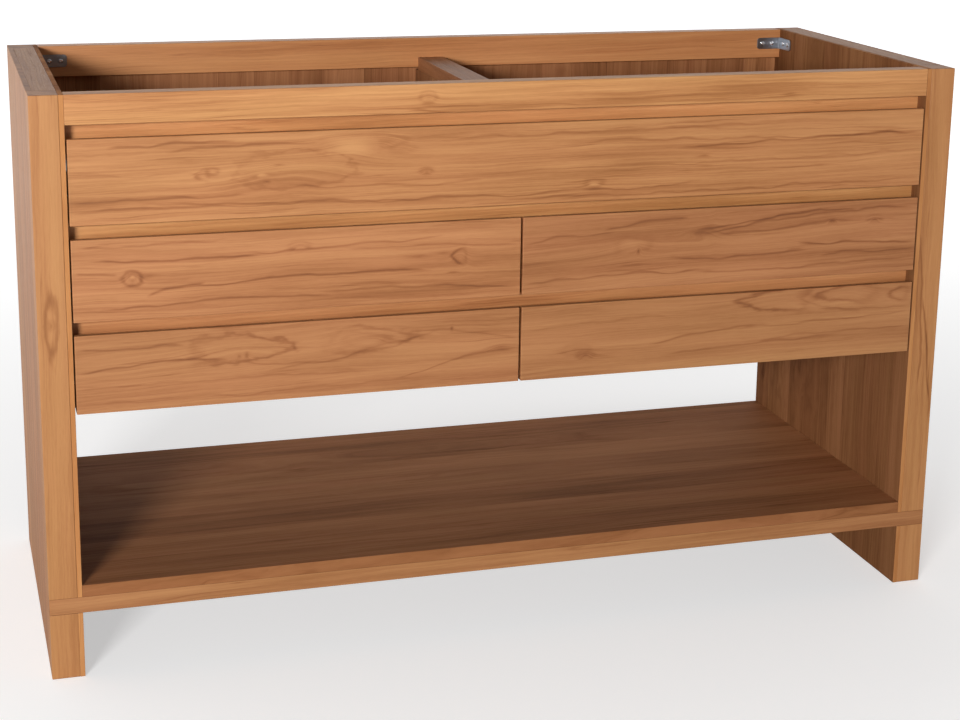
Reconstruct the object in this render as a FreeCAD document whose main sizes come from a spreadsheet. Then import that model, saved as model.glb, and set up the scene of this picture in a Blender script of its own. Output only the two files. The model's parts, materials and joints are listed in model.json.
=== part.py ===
"""Double bathroom vanity cabinet in teak.

An open-topped carcass stands on slab sides, with five drawers and a low open shelf.

Frame, in millimetres: +X to the right seen from the front, +Y towards the wall, +Z up. The origin is on the
floor, under the middle of the cabinet. The front faces -Y. Each sub-part is one object whose sizes and place
are bound to the sheet of driving dimensions, and is written to parts/NODE.step.
"""

import FreeCAD, Part
import os
import re

import Sketcher

SIZES = {
    # the whole cabinet
    "wide": (1400, "overall width"),
    "deep": (550, "overall depth"),
    "tall": (850, "floor to rim"),
    # the two slab sides: a post at each end, rails between them, a skin outside and a lining inside
    "post_wide": (40, "corner post, along X"),
    "post_deep": (45, "corner post, along Y"),
    "lining": (7, "inner lining thickness"),
    "skin": (8, "outer panel thickness"),
    "side_rail_tall": (40, "rail along the top of a side"),
    "foot_rail_tall": (60, "rail along the foot of a side"),
    # the front, from the rim down
    "rim_tall": (42, "top front rail height"),
    "rim_deep": (28, "top front rail depth"),
    "gap_tall": (19.5, "finger gap above each row of fronts"),
    "wide_front_tall": (121, "front of the full-width drawer"),
    "upper_front_tall": (117, "fronts of the second row"),
    "lower_front_tall": (114, "fronts of the third row"),
    "reveal": (2, "gap between a front and the side"),
    "middle_reveal": (3, "gap between the two fronts of a row"),
    # the recessed rails that close the finger gaps
    "recess": (25, "front plane to the face of a finger rail"),
    "finger_rail_deep": (20, "finger rail depth"),
    "finger_rail_over": (8, "how far a finger rail reaches past its gap"),
    # the top frame and the back
    "back_rail_tall": (50, "top back rail height"),
    "back_rail_deep": (27, "top back rail depth"),
    "cross_wide": (43, "cross rail width"),
    "cross_tall": (22, "cross rail thickness"),
    "cross_drop": (33, "rim to the top of the cross rail"),
    "back_thick": (10, "back panel thickness"),
    "end_board_wide": (58, "board at each end of the back"),
    "back_post_deep": (110, "centre back post, along Y"),
    "partition": (18, "centre partition thickness"),
    "bay_floor_thick": (10, "board under the drawers"),
    "bay_floor_lift": (2.5, "bottom of the lowest fronts to that board"),
    # the open shelf and what carries it
    "leg_tall": (99, "floor to the bottom front rail"),
    "band_tall": (24, "bottom front and back rail height"),
    "band_deep": (20, "bottom front and back rail depth"),
    "shelf_thick": (18, "bottom shelf thickness"),
    # the drawers
    "front_thick": (20, "drawer front thickness"),
    "grip_wide": (11, "finger grip bevel on the back of a front, along Y"),
    "grip_tall": (14, "finger grip bevel, along Z"),
    "box_long": (370, "drawer box length behind the front"),
    "box_tall": (80, "drawer side height"),
    "box_lift": (16, "bottom of a front to the bottom of its box"),
    "board": (12, "drawer side and back thickness"),
    "base_thick": (6, "drawer bottom thickness"),
    "base_lift": (8, "bottom edge of a side to the groove for the bottom"),
    "groove": (5, "groove depth for the drawer bottom"),
    # the ball-bearing slides
    "slide_long": (350, "slide length"),
    "slide_set": (5, "drawer front to the near end of its slides"),
    "slide_wide": (12.7, "cabinet side to drawer side"),
    "rail_tall": (36, "fixed slide member height"),
    "runner_tall": (26, "moving slide member height"),
    "sheet_thick": (1.5, "slide metal thickness"),
    "rail_lip": (8, "flange of the fixed member"),
    "runner_lip": (7.5, "flange of the moving member"),
    # the angle brackets in the back corners
    "bracket_leg": (45, "bracket leg length"),
    "bracket_wide": (20, "bracket width"),
    "bracket_thick": (2, "bracket metal thickness"),
    "bracket_drop": (14, "rim to the top of a bracket"),
    "hole_near": (17, "corner to the first hole"),
    "hole_far": (35, "corner to the second hole"),
    "hole_wide": (4.5, "bracket hole diameter"),
    "head_wide": (7.6, "screw head diameter"),
    "head_tall": (1.6, "screw head height"),
    "shank_wide": (3.8, "screw shank diameter"),
    "shank_long": (14, "screw length under the head"),
}

# heights and lines that several sub-parts share, as formulas in the sheet's aliases
INNER = "(wide / 2 - post_wide - lining)"
FRONT = "(-deep / 2)"
BACK = "(deep / 2)"
RAIL_FACE = "(-deep / 2 + recess)"
BEHIND_RAILS = "(-deep / 2 + recess + finger_rail_deep)"
BACK_FACE = "(deep / 2 - back_thick)"
BACK_RAIL_FACE = "(deep / 2 - back_rail_deep)"
WIDE_TOP = "(tall - rim_tall - gap_tall)"
WIDE_FOOT = "(tall - rim_tall - gap_tall - wide_front_tall)"
UPPER_TOP = f"({WIDE_FOOT} - gap_tall)"
UPPER_FOOT = f"({UPPER_TOP} - upper_front_tall)"
LOWER_TOP = f"({UPPER_FOOT} - gap_tall)"
LOWER_FOOT = f"({LOWER_TOP} - lower_front_tall)"
BAY_FLOOR = f"({LOWER_FOOT} + bay_floor_lift)"
BAY_FLOOR_TOP = f"({BAY_FLOOR} + bay_floor_thick)"
CROSS_TOP = "(tall - cross_drop)"

# the two hands of the cabinet and their signs along X
HANDS = (("left", -1), ("right", 1))

doc = FreeCAD.newDocument("vanity_cabinet")
sheet = doc.addObject("Spreadsheet::Sheet", "Sizes")
for row, (alias, (value, meaning)) in enumerate(SIZES.items(), start=1):
    sheet.set(f"A{row}", meaning)
    sheet.set(f"B{row}", str(value))
    sheet.setAlias(f"B{row}", alias)
doc.recompute()

sub_parts = []


def bind(item, **formulas):
    """Binds properties of item to formulas in the sheet's aliases. x, y and z are its place."""
    for name, formula in formulas.items():
        path = f"Placement.Base.{name}" if name in ("x", "y", "z") else name
        item.setExpression(path, re.sub(r"[a-z_]{3,}", lambda word: "Sizes." + word.group(), str(formula)))


def keep(item, label):
    """Names item as a sub-part of the cabinet."""
    item.Label = label
    sub_parts.append(item)
    return item


def box(name, x, y, z):
    """A box between two formulas along each axis, each pair being (low, high)."""
    item = doc.addObject("Part::Box", name)
    bind(item, Length=f"{x[1]} - {x[0]}", Width=f"{y[1]} - {y[0]}", Height=f"{z[1]} - {z[0]}")
    bind(item, x=x[0], y=y[0], z=z[0])
    return item


def cut(name, base, tool):
    item = doc.addObject("Part::Cut", name)
    item.Base = base
    item.Tool = tool
    return item


def group(label, items):
    """Several separate solids under one name."""
    item = doc.addObject("Part::Compound", label)
    item.Links = items
    return keep(item, label)


def board(label, x, y, z):
    return keep(box(label, x, y, z), label)


def beside(sign, near, far):
    """The (low, high) pair from near to far on the side of X that sign gives."""
    return (near, far) if sign > 0 else (f"-{far}", f"-{near}")


def plane_of(body, role):
    return next(item for item in body.Origin.OriginFeatures if item.Role == role)


def outline(body, name, points, role):
    """A closed sketch through points, each a pair of formulas measured from the body's own origin."""
    sketch = body.newObject("Sketcher::SketchObject", name)
    sketch.AttachmentSupport = (plane_of(body, role), [""])
    sketch.MapMode = "FlatFace"
    count = len(points)
    guess = [FreeCAD.Vector(sheet_value(across), sheet_value(up), 0) for across, up in points]
    for i in range(count):
        sketch.addGeometry(Part.LineSegment(guess[i], guess[(i + 1) % count]), False)
    for i in range(count):
        sketch.addConstraint(Sketcher.Constraint("Coincident", i, 2, (i + 1) % count, 1))
    for i, (across, up) in enumerate(points):
        for kind, formula in (("DistanceX", across), ("DistanceY", up)):
            index = sketch.addConstraint(Sketcher.Constraint(kind, -1, 1, i, 1, sheet_value(formula)))
            sketch.renameConstraint(index, f"{kind}{i}")
            bind(sketch, **{f"Constraints.{kind}{i}": formula})
    return sketch


def sheet_value(formula):
    """What a formula of products, sums and aliases comes to with the present sheet."""
    probe = doc.getObject("Probe") or doc.addObject("App::FeaturePython", "Probe")
    if "value" not in probe.PropertiesList:
        probe.addProperty("App::PropertyFloat", "value")
    bind(probe, value=formula)
    probe.recompute()
    found = probe.value
    probe.setExpression("value", None)
    return found


def pad(body, sketch, length):
    feature = body.newObject("PartDesign::Pad", body.Name + "_pad")
    feature.Profile = sketch
    bind(feature, Length=length)
    return feature


def side(name, sign):
    """One slab side: posts at both ends, rails between them, an outer panel and an inner lining."""
    post_x = beside(sign, "(wide / 2 - post_wide)", "(wide / 2)")
    lining_x = beside(sign, INNER, "(wide / 2 - post_wide)")
    between = ("(-deep / 2 + post_deep)", "(deep / 2 - post_deep)")
    housing_y = (FRONT, f"({FRONT} + band_deep)")
    housing_z = ("leg_tall", "(leg_tall + band_tall)")
    # the front post and the lining are notched for the rail that runs across under the shelf
    for piece, across, along in (
        ("front_post", post_x, (FRONT, f"({FRONT} + post_deep)")),
        ("inner_lining", lining_x, (FRONT, BACK)),
    ):
        blank = box(f"{name}_{piece}_blank", across, along, ("0", "tall"))
        notch = box(f"{name}_{piece}_notch", across, housing_y, housing_z)
        keep(cut(f"{name}_{piece}", blank, notch), f"{name}_{piece}")
    board(f"{name}_back_post", post_x, (f"({BACK} - post_deep)", BACK), ("0", "tall"))
    skin_x = beside(sign, "(wide / 2 - skin)", "(wide / 2)")
    board(f"{name}_outer_panel", skin_x, between, ("0", "tall"))
    core_x = beside(sign, "(wide / 2 - post_wide)", "(wide / 2 - skin)")
    top_rail = box(f"{name}_side_top_rail", core_x, between, ("(tall - side_rail_tall)", "tall"))
    foot_rail = box(f"{name}_side_foot_rail", core_x, between, ("0", "foot_rail_tall"))
    return top_rail, foot_rail


def top_frame():
    """The rails round the open top, and the cross rail that ties front to back at the middle."""
    across = (f"-{INNER}", INNER)
    board("top_front_rail", across, (FRONT, f"({FRONT} + rim_deep)"), ("(tall - rim_tall)", "tall"))
    board("top_back_rail", across, (BACK_RAIL_FACE, BACK), ("(tall - back_rail_tall)", "tall"))
    # the cross rail butts against both rails, and its front end is rebated over the upper finger rail
    cross_x = ("(-cross_wide / 2)", "(cross_wide / 2)")
    rim_back = f"({FRONT} + rim_deep)"
    under = f"({CROSS_TOP} - cross_tall)"
    blank = box("top_cross_rail_blank", cross_x, (rim_back, BACK_RAIL_FACE), (under, CROSS_TOP))
    rebate = box("top_cross_rail_rebate", cross_x, (rim_back, BEHIND_RAILS), (under, "(tall - rim_tall)"))
    keep(cut("top_cross_rail", blank, rebate), "top_cross_rail")


def finger_rails():
    """The recessed rails that close the gap above each row of fronts. The upper one stops under the rim."""
    across = (f"-{INNER}", INNER)
    along = (RAIL_FACE, BEHIND_RAILS)
    # the top rail is thicker than the recess, so the rail behind it starts under it
    board("upper_finger_rail", across, along, (f"({WIDE_TOP} - finger_rail_over)", "(tall - rim_tall)"))
    for name, foot in (("middle", WIDE_FOOT), ("lower", UPPER_FOOT)):
        height = (f"({foot} - gap_tall - finger_rail_over)", f"({foot} + finger_rail_over)")
        board(f"{name}_finger_rail", across, along, height)


def drawer_bay():
    """What divides and closes the space behind the drawers."""
    post_front = f"({BACK_FACE} - back_post_deep)"
    board(
        "centre_back_post",
        ("(-cross_wide / 2)", "(cross_wide / 2)"),
        (post_front, BACK_FACE),
        (BAY_FLOOR_TOP, f"({CROSS_TOP} - cross_tall)"),
    )
    board(
        "centre_partition",
        ("(-partition / 2)", "(partition / 2)"),
        (BEHIND_RAILS, post_front),
        (BAY_FLOOR_TOP, f"({WIDE_FOOT} + finger_rail_over)"),
    )
    board("bay_floor", (f"-{INNER}", INNER), (RAIL_FACE, BACK_FACE), (BAY_FLOOR, BAY_FLOOR_TOP))
    panel_edge = f"({INNER} - end_board_wide)"
    back_y = (BACK_FACE, BACK)
    back_z = (BAY_FLOOR, "(tall - back_rail_tall)")
    board("back_panel", (f"-{panel_edge}", panel_edge), back_y, back_z)
    ends = [box(f"{name}_end_board", beside(sign, panel_edge, INNER), back_y, back_z) for name, sign in HANDS]
    group("back_end_boards", ends)


def shelf():
    """The open shelf, flush with the front, on a rail that laps both sides and a rail along the back."""
    band_z = ("leg_tall", "(leg_tall + band_tall)")
    board("bottom_front_rail", ("(-wide / 2)", "(wide / 2)"), (FRONT, f"({FRONT} + band_deep)"), band_z)
    board("bottom_back_rail", (f"-{INNER}", INNER), (f"({BACK} - band_deep)", BACK), band_z)
    shelf_z = ("(leg_tall + band_tall)", "(leg_tall + band_tall + shelf_thick)")
    board("bottom_shelf", (f"-{INNER}", INNER), (FRONT, BACK), shelf_z)


def bracket(name, sign):
    """An angle bracket in a back top corner, its corner on the lining and the back rail."""
    body = doc.addObject("PartDesign::Body", name)
    legs = [
        ("0", "0"),
        (f"{sign} * bracket_leg", "0"),
        (f"{sign} * bracket_leg", "-bracket_thick"),
        (f"{sign} * bracket_thick", "-bracket_thick"),
        (f"{sign} * bracket_thick", "-bracket_leg"),
        ("0", "-bracket_leg"),
    ]
    pad(body, outline(body, f"{name}_outline", legs, "XY_Plane"), "bracket_wide")
    bind(body, x=f"{-sign} * {INNER}", y=BACK_RAIL_FACE, z="tall - bracket_drop - bracket_wide")
    # one row of holes through the leg on the back rail, one through the leg on the side
    for role, reach in (("XZ_Plane", sign), ("YZ_Plane", -1)):
        holes = body.newObject("Sketcher::SketchObject", f"{name}_{role[:2]}_holes")
        holes.AttachmentSupport = (plane_of(body, role), [""])
        holes.MapMode = "FlatFace"
        for i, place in enumerate(("hole_near", "hole_far")):
            centre = FreeCAD.Vector(sheet_value(f"{reach} * {place}"), sheet_value("bracket_wide / 2"), 0)
            radius = sheet_value("hole_wide / 2")
            holes.addGeometry(Part.Circle(centre, FreeCAD.Vector(0, 0, 1), radius), False)
            for kind, formula in (("DistanceX", f"{reach} * {place}"), ("DistanceY", "bracket_wide / 2")):
                index = holes.addConstraint(Sketcher.Constraint(kind, -1, 1, i, 3, sheet_value(formula)))
                holes.renameConstraint(index, f"{kind}{i}")
                bind(holes, **{f"Constraints.{kind}{i}": formula})
            index = holes.addConstraint(Sketcher.Constraint("Radius", i, radius))
            holes.renameConstraint(index, f"Radius{i}")
            bind(holes, **{f"Constraints.Radius{i}": "hole_wide / 2"})
        pocket = body.newObject("PartDesign::Pocket", f"{name}_{role[:2]}_pocket")
        pocket.Profile = holes
        pocket.Type = "ThroughAll"
        pocket.Midplane = True
    return body


def screw(name, turn, x, y):
    """A pan-head screw in a bracket hole. turn is the rotation that points its head into the cabinet."""
    shank = doc.addObject("Part::Cylinder", f"{name}_shank")
    bind(shank, Radius="shank_wide / 2", Height="shank_long", z="-shank_long")
    head = doc.addObject("Part::Cone", f"{name}_head")
    bind(head, Radius1="head_wide / 2", Radius2="head_wide / 3", Height="head_tall")
    item = doc.addObject("Part::Fuse", name)
    item.Base = shank
    item.Tool = head
    item.Placement = FreeCAD.Placement(FreeCAD.Vector(), turn)
    bind(item, x=x, y=y, z="tall - bracket_drop - bracket_wide / 2")
    return item


def brackets():
    """Both angle brackets and their screws, two through each leg."""
    group("corner_brackets", [bracket(f"{name}_bracket", -sign) for name, sign in HANDS])
    screws = []
    to_front = FreeCAD.Rotation(FreeCAD.Vector(1, 0, 0), 90)
    for name, sign in HANDS:
        to_middle = FreeCAD.Rotation(FreeCAD.Vector(0, 1, 0), -90 * sign)
        for place in ("hole_near", "hole_far"):
            in_rail = (f"{sign} * ({INNER} - {place})", f"{BACK_RAIL_FACE} - bracket_thick")
            in_side = (f"{sign} * ({INNER} - bracket_thick)", f"{BACK_RAIL_FACE} - {place}")
            screws.append(screw(f"{name}_{place}_back", to_front, *in_rail))
            screws.append(screw(f"{name}_{place}_side", to_middle, *in_side))
    group("bracket_screws", screws)


def channel(name, web, way, reach, y, middle, height):
    """One slide member, a C section with its web at x = web and flanges along X, way being +1 or -1."""
    low, high = f"{middle} - {height} / 2", f"{middle} + {height} / 2"

    def across(near):
        if way > 0:
            return f"({web} + {near})", f"({web} + {reach})"
        return f"({web} - {reach})", f"({web} - {near})"

    inside = (f"({low} + sheet_thick)", f"({high} - sheet_thick)")
    outer = box(f"{name}_outer", across("0"), y, (f"({low})", f"({high})"))
    hollow = box(f"{name}_hollow", across("sheet_thick"), y, inside)
    return cut(name, outer, hollow)


def slide(name, box_edge, outward, foot):
    """The fixed and the moving member beside the drawer side at x = box_edge. outward is +1 or -1 along X."""
    middle = f"({foot} + box_lift + box_tall / 2)"
    near = f"{FRONT} + front_thick + slide_set"
    y = (f"({near})", f"({near} + slide_long)")
    cabinet = f"({box_edge} + {outward} * slide_wide)"
    rail = channel(f"{name}_rail", cabinet, -outward, "rail_lip", y, middle, "rail_tall")
    runner = channel(f"{name}_runner", box_edge, outward, "runner_lip", y, middle, "runner_tall")
    return rail, runner


def drawer(name, left, right, foot, front_tall, left_wall, right_wall):
    """One drawer. left and right are its front's edges, foot the front's bottom edge, and left_wall and
    right_wall the faces that its slides are fixed to. Returns the two fixed slide members."""
    front_back = f"({FRONT} + front_thick)"
    box_back = f"({front_back} + box_long)"
    low = f"({foot} + box_lift)"
    high = f"({low} + box_tall)"
    groove_z = (f"({low} + base_lift)", f"({low} + base_lift + base_thick)")

    # the front: a bevel behind its top edge for the fingers, and a groove for the bottom
    body = doc.addObject("PartDesign::Body", f"{name}_front")
    profile = [
        ("0", "0"),
        ("front_thick", "0"),
        ("front_thick", "box_lift + base_lift"),
        ("front_thick - groove", "box_lift + base_lift"),
        ("front_thick - groove", "box_lift + base_lift + base_thick"),
        ("front_thick", "box_lift + base_lift + base_thick"),
        ("front_thick", f"{front_tall} - grip_tall"),
        ("front_thick - grip_wide", front_tall),
        ("0", front_tall),
    ]
    pad(body, outline(body, f"{name}_front_outline", profile, "YZ_Plane"), f"{right} - {left}")
    bind(body, x=left, y=FRONT, z=foot)
    keep(body, f"{name}_front")

    box_left = f"({left_wall} + slide_wide)"
    box_right = f"({right_wall} - slide_wide)"
    left_face, right_face = f"({box_left} + board)", f"({box_right} - board)"
    for hand, across, inside in (
        ("left", (box_left, left_face), (f"({left_face} - groove)", left_face)),
        ("right", (right_face, box_right), (right_face, f"({right_face} + groove)")),
    ):
        blank = box(f"{name}_{hand}_side_blank", across, (front_back, box_back), (low, high))
        groove = box(f"{name}_{hand}_side_groove", inside, (front_back, box_back), groove_z)
        keep(cut(f"{name}_{hand}_side", blank, groove), f"{name}_{hand}_side")
    board(f"{name}_back", (left_face, right_face), (f"({box_back} - board)", box_back), (groove_z[1], high))
    in_grooves = (f"({left_face} - groove)", f"({right_face} + groove)")
    board(f"{name}_bottom", in_grooves, (f"({front_back} - groove)", box_back), groove_z)
    left_rail, left_runner = slide(f"{name}_left", box_left, -1, foot)
    right_rail, right_runner = slide(f"{name}_right", box_right, 1, foot)
    group(f"{name}_runners", [left_runner, right_runner])
    return [left_rail, right_rail]


def drawers():
    """One full-width drawer over two rows of two."""
    edge = f"({INNER} - reveal)"
    middle = "(middle_reveal / 2)"
    wall = "(partition / 2)"
    wide_rails = drawer("wide_drawer", f"(-{edge})", edge, WIDE_FOOT, "wide_front_tall", f"(-{INNER})", INNER)
    group("wide_slide_rails", wide_rails)
    for row, foot, tall in (
        ("upper", UPPER_FOOT, "upper_front_tall"),
        ("lower", LOWER_FOOT, "lower_front_tall"),
    ):
        left_edges, left_walls = (f"(-{edge})", f"(-{middle})"), (f"(-{INNER})", f"(-{wall})")
        left_rails = drawer(f"{row}_left_drawer", *left_edges, foot, tall, *left_walls)
        right_rails = drawer(f"{row}_right_drawer", middle, edge, foot, tall, wall, INNER)
        group(f"{row}_slide_rails", left_rails + right_rails)


def check(item):
    """Stops the macro if a sub-part has no sound solid."""
    shape = item.Shape
    if shape.isNull() or not shape.isValid() or shape.Volume <= 0:
        raise RuntimeError(f"{item.Label} has no valid solid")


core_rails = [side(name, sign) for name, sign in HANDS]
group("side_top_rails", [top for top, foot in core_rails])
group("side_foot_rails", [foot for top, foot in core_rails])
top_frame()
finger_rails()
drawer_bay()
shelf()
brackets()
drawers()

if doc.getObject("Probe"):
    doc.removeObject("Probe")
doc.recompute()
for item in doc.Objects:
    if {"Invalid", "Error"} & set(item.State):
        raise RuntimeError(f"{item.Label} failed: {item.State}")
for item in sub_parts:
    check(item)

os.makedirs("parts", exist_ok=True)
for item in sub_parts:
    item.Shape.exportStep(f"parts/{item.Label}.step")
    corner = item.Shape.BoundBox
    size = f"{corner.XLength:.1f} x {corner.YLength:.1f} x {corner.ZLength:.1f}"
    print(f"{item.Label}: {len(item.Shape.Solids)} solid(s), {size} mm, {item.Shape.Volume / 1000:.1f} cm3")
print(f"{len(sub_parts)} sub-parts")
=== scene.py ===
"""Looks of the teak vanity cabinet: solid teak cut from imagined logs, zinc hardware, and a plain studio."""

import json
import math

import bmesh
import bpy
from mathutils import Matrix, Vector

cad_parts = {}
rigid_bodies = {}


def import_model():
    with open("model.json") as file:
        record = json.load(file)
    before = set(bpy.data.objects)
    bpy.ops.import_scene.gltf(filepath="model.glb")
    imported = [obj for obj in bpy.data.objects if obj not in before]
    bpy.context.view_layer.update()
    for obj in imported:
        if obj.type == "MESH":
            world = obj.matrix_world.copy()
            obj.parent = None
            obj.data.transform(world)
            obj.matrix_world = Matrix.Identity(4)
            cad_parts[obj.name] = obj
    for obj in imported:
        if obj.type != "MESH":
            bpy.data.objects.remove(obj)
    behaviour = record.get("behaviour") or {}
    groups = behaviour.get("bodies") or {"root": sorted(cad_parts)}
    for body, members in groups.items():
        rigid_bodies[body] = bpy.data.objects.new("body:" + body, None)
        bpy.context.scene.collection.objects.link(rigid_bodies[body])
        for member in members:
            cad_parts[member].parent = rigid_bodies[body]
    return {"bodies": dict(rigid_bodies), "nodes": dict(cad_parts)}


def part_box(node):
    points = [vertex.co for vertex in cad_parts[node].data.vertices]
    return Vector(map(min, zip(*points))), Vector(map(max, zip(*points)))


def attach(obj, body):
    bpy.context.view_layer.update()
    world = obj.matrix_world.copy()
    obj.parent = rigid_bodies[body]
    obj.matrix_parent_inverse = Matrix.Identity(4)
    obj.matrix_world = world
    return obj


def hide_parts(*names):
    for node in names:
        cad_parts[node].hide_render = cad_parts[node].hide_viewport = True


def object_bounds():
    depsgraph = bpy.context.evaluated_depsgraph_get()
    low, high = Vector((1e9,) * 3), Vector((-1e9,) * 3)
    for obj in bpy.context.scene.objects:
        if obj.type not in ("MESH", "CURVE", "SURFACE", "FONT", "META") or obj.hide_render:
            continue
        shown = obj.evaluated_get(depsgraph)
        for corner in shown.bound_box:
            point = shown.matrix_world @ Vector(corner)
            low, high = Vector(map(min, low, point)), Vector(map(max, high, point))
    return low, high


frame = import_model()
NODES = frame["nodes"]
DRAWERS = [name for name in frame["bodies"] if name.endswith("_drawer")]
CAD_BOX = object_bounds()
LOW, HIGH = CAD_BOX
TALL = HIGH.z - LOW.z
MM = 0.001
WHITE = (1, 1, 1, 1)


# ---------------------------------------------------------------- camera, light and floor

# where the eye is, from the front bottom left corner, in heights of the cabinet
EYE = Vector((-0.157, -2.998, 1.456))
# degrees that it turns right, looks down and leans over
YAW, PITCH, ROLL = 16.79, 13.4, 0.79
SENSOR, LENS = 36, 70.1   # millimetres
SHIFT = -0.115            # of the picture's width

# the one lamp, a soft box to the left of the eye
KEY_PLACE = (-2.75, -4.4, 1.6)
KEY_SIZE = (1.1, 0.7)
KEY_POWER = 208           # watts


def add_camera():
    data = bpy.data.cameras.new("camera")
    data.lens = LENS
    data.sensor_width = SENSOR
    data.shift_y = SHIFT
    data.clip_end = 100
    camera = bpy.data.objects.new("camera", data)
    bpy.context.scene.collection.objects.link(camera)
    yaw, pitch, roll = (math.radians(angle) for angle in (YAW, PITCH, ROLL))
    ahead = Vector((math.sin(yaw) * math.cos(pitch), math.cos(yaw) * math.cos(pitch), -math.sin(pitch)))
    right = Vector((math.cos(yaw), -math.sin(yaw), 0))
    up = right.cross(ahead)
    right, up = (
        right * math.cos(roll) + up * math.sin(roll),
        up * math.cos(roll) - right * math.sin(roll),
    )
    turn = Matrix((right, up, -ahead)).transposed().to_4x4()
    camera.matrix_world = Matrix.Translation(LOW + EYE * TALL) @ turn
    bpy.context.scene.camera = camera


def add_key_light():
    """The soft box, pointing at the middle of the cabinet."""
    data = bpy.data.lights.new("key", "AREA")
    data.shape = "RECTANGLE"
    data.size, data.size_y = KEY_SIZE
    data.energy = KEY_POWER
    light = bpy.data.objects.new("key", data)
    bpy.context.scene.collection.objects.link(light)
    light.location = KEY_PLACE
    light.rotation_mode = "QUATERNION"
    light.rotation_quaternion = ((LOW + HIGH) / 2 - Vector(KEY_PLACE)).to_track_quat("-Z", "Y")


def add_world():
    """A white studio: bright behind the cabinet, dim in front of it and overhead, and seen as plain white."""
    world = bpy.data.worlds.new("studio")
    bpy.context.scene.world = world
    world.use_nodes = True
    graph = Graph(world.node_tree)
    direction = graph.add("ShaderNodeTexCoord").outputs["Generated"]
    axes = graph.add("ShaderNodeSeparateXYZ", [direction]).outputs
    front_to_back = [axes["Y"], -0.35, 0.6, 0.27, 1.2]
    level_to_overhead = [axes["Z"], 0.25, 0.95, 1.0, 0.14]
    around, above = (
        graph.add("ShaderNodeMapRange", limits, interpolation_type="SMOOTHSTEP").outputs[0]
        for limits in (front_to_back, level_to_overhead)
    )
    background = graph.tree.nodes["Background"]
    background.inputs["Color"].default_value = WHITE
    seen = graph.add("ShaderNodeLightPath").outputs["Is Camera Ray"]
    glow = graph.maths("MULTIPLY", around, above)
    graph.feed(background.inputs["Strength"], graph.remap(seen, 0.0, 1.0, glow, 1.0))


def add_floor():
    """A pale floor that fades into the white of the studio. Its glow is seen, and shows in what is glossy,
    but lights nothing."""
    half = 40.0
    corners = [(-half, -half, 0), (half, -half, 0), (half, half, 0), (-half, half, 0)]
    fade_start, fade_end = 0.8, 3.6   # metres from the middle of the cabinet
    near_glow, near_reflected, far_glow = 0.5, 0.1, 0.95
    mesh = bpy.data.meshes.new("floor")
    mesh.from_pydata(corners, [], [(0, 1, 2, 3)])
    floor = bpy.data.objects.new("floor", mesh)
    bpy.context.scene.collection.objects.link(floor)
    material = bpy.data.materials.new("pale_floor")
    material.use_nodes = True
    shader = material.node_tree.nodes["Principled BSDF"]
    shader.inputs["Base Color"].default_value = (0.7, 0.7, 0.7, 1)
    shader.inputs["Roughness"].default_value = 0.9
    shader.inputs["Specular IOR Level"].default_value = 0.1
    shader.inputs["Emission Color"].default_value = WHITE
    graph = Graph(material.node_tree)
    ray = graph.add("ShaderNodeLightPath").outputs
    seen = graph.maths("MAXIMUM", ray["Is Camera Ray"], ray["Is Glossy Ray"])
    near = graph.maths("MULTIPLY_ADD", ray["Is Camera Ray"], near_glow - near_reflected, near_reflected)
    place = graph.add("ShaderNodeTexCoord").outputs["Object"]
    away = graph.add("ShaderNodeVectorMath", [place], operation="LENGTH").outputs["Value"]
    glow = graph.maths("MULTIPLY", seen, graph.remap(away, fade_start, fade_end, near, far_glow))
    graph.feed(shader.inputs["Emission Strength"], glow)
    mesh.materials.append(material)


# ---------------------------------------------------------------- shader building


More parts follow.
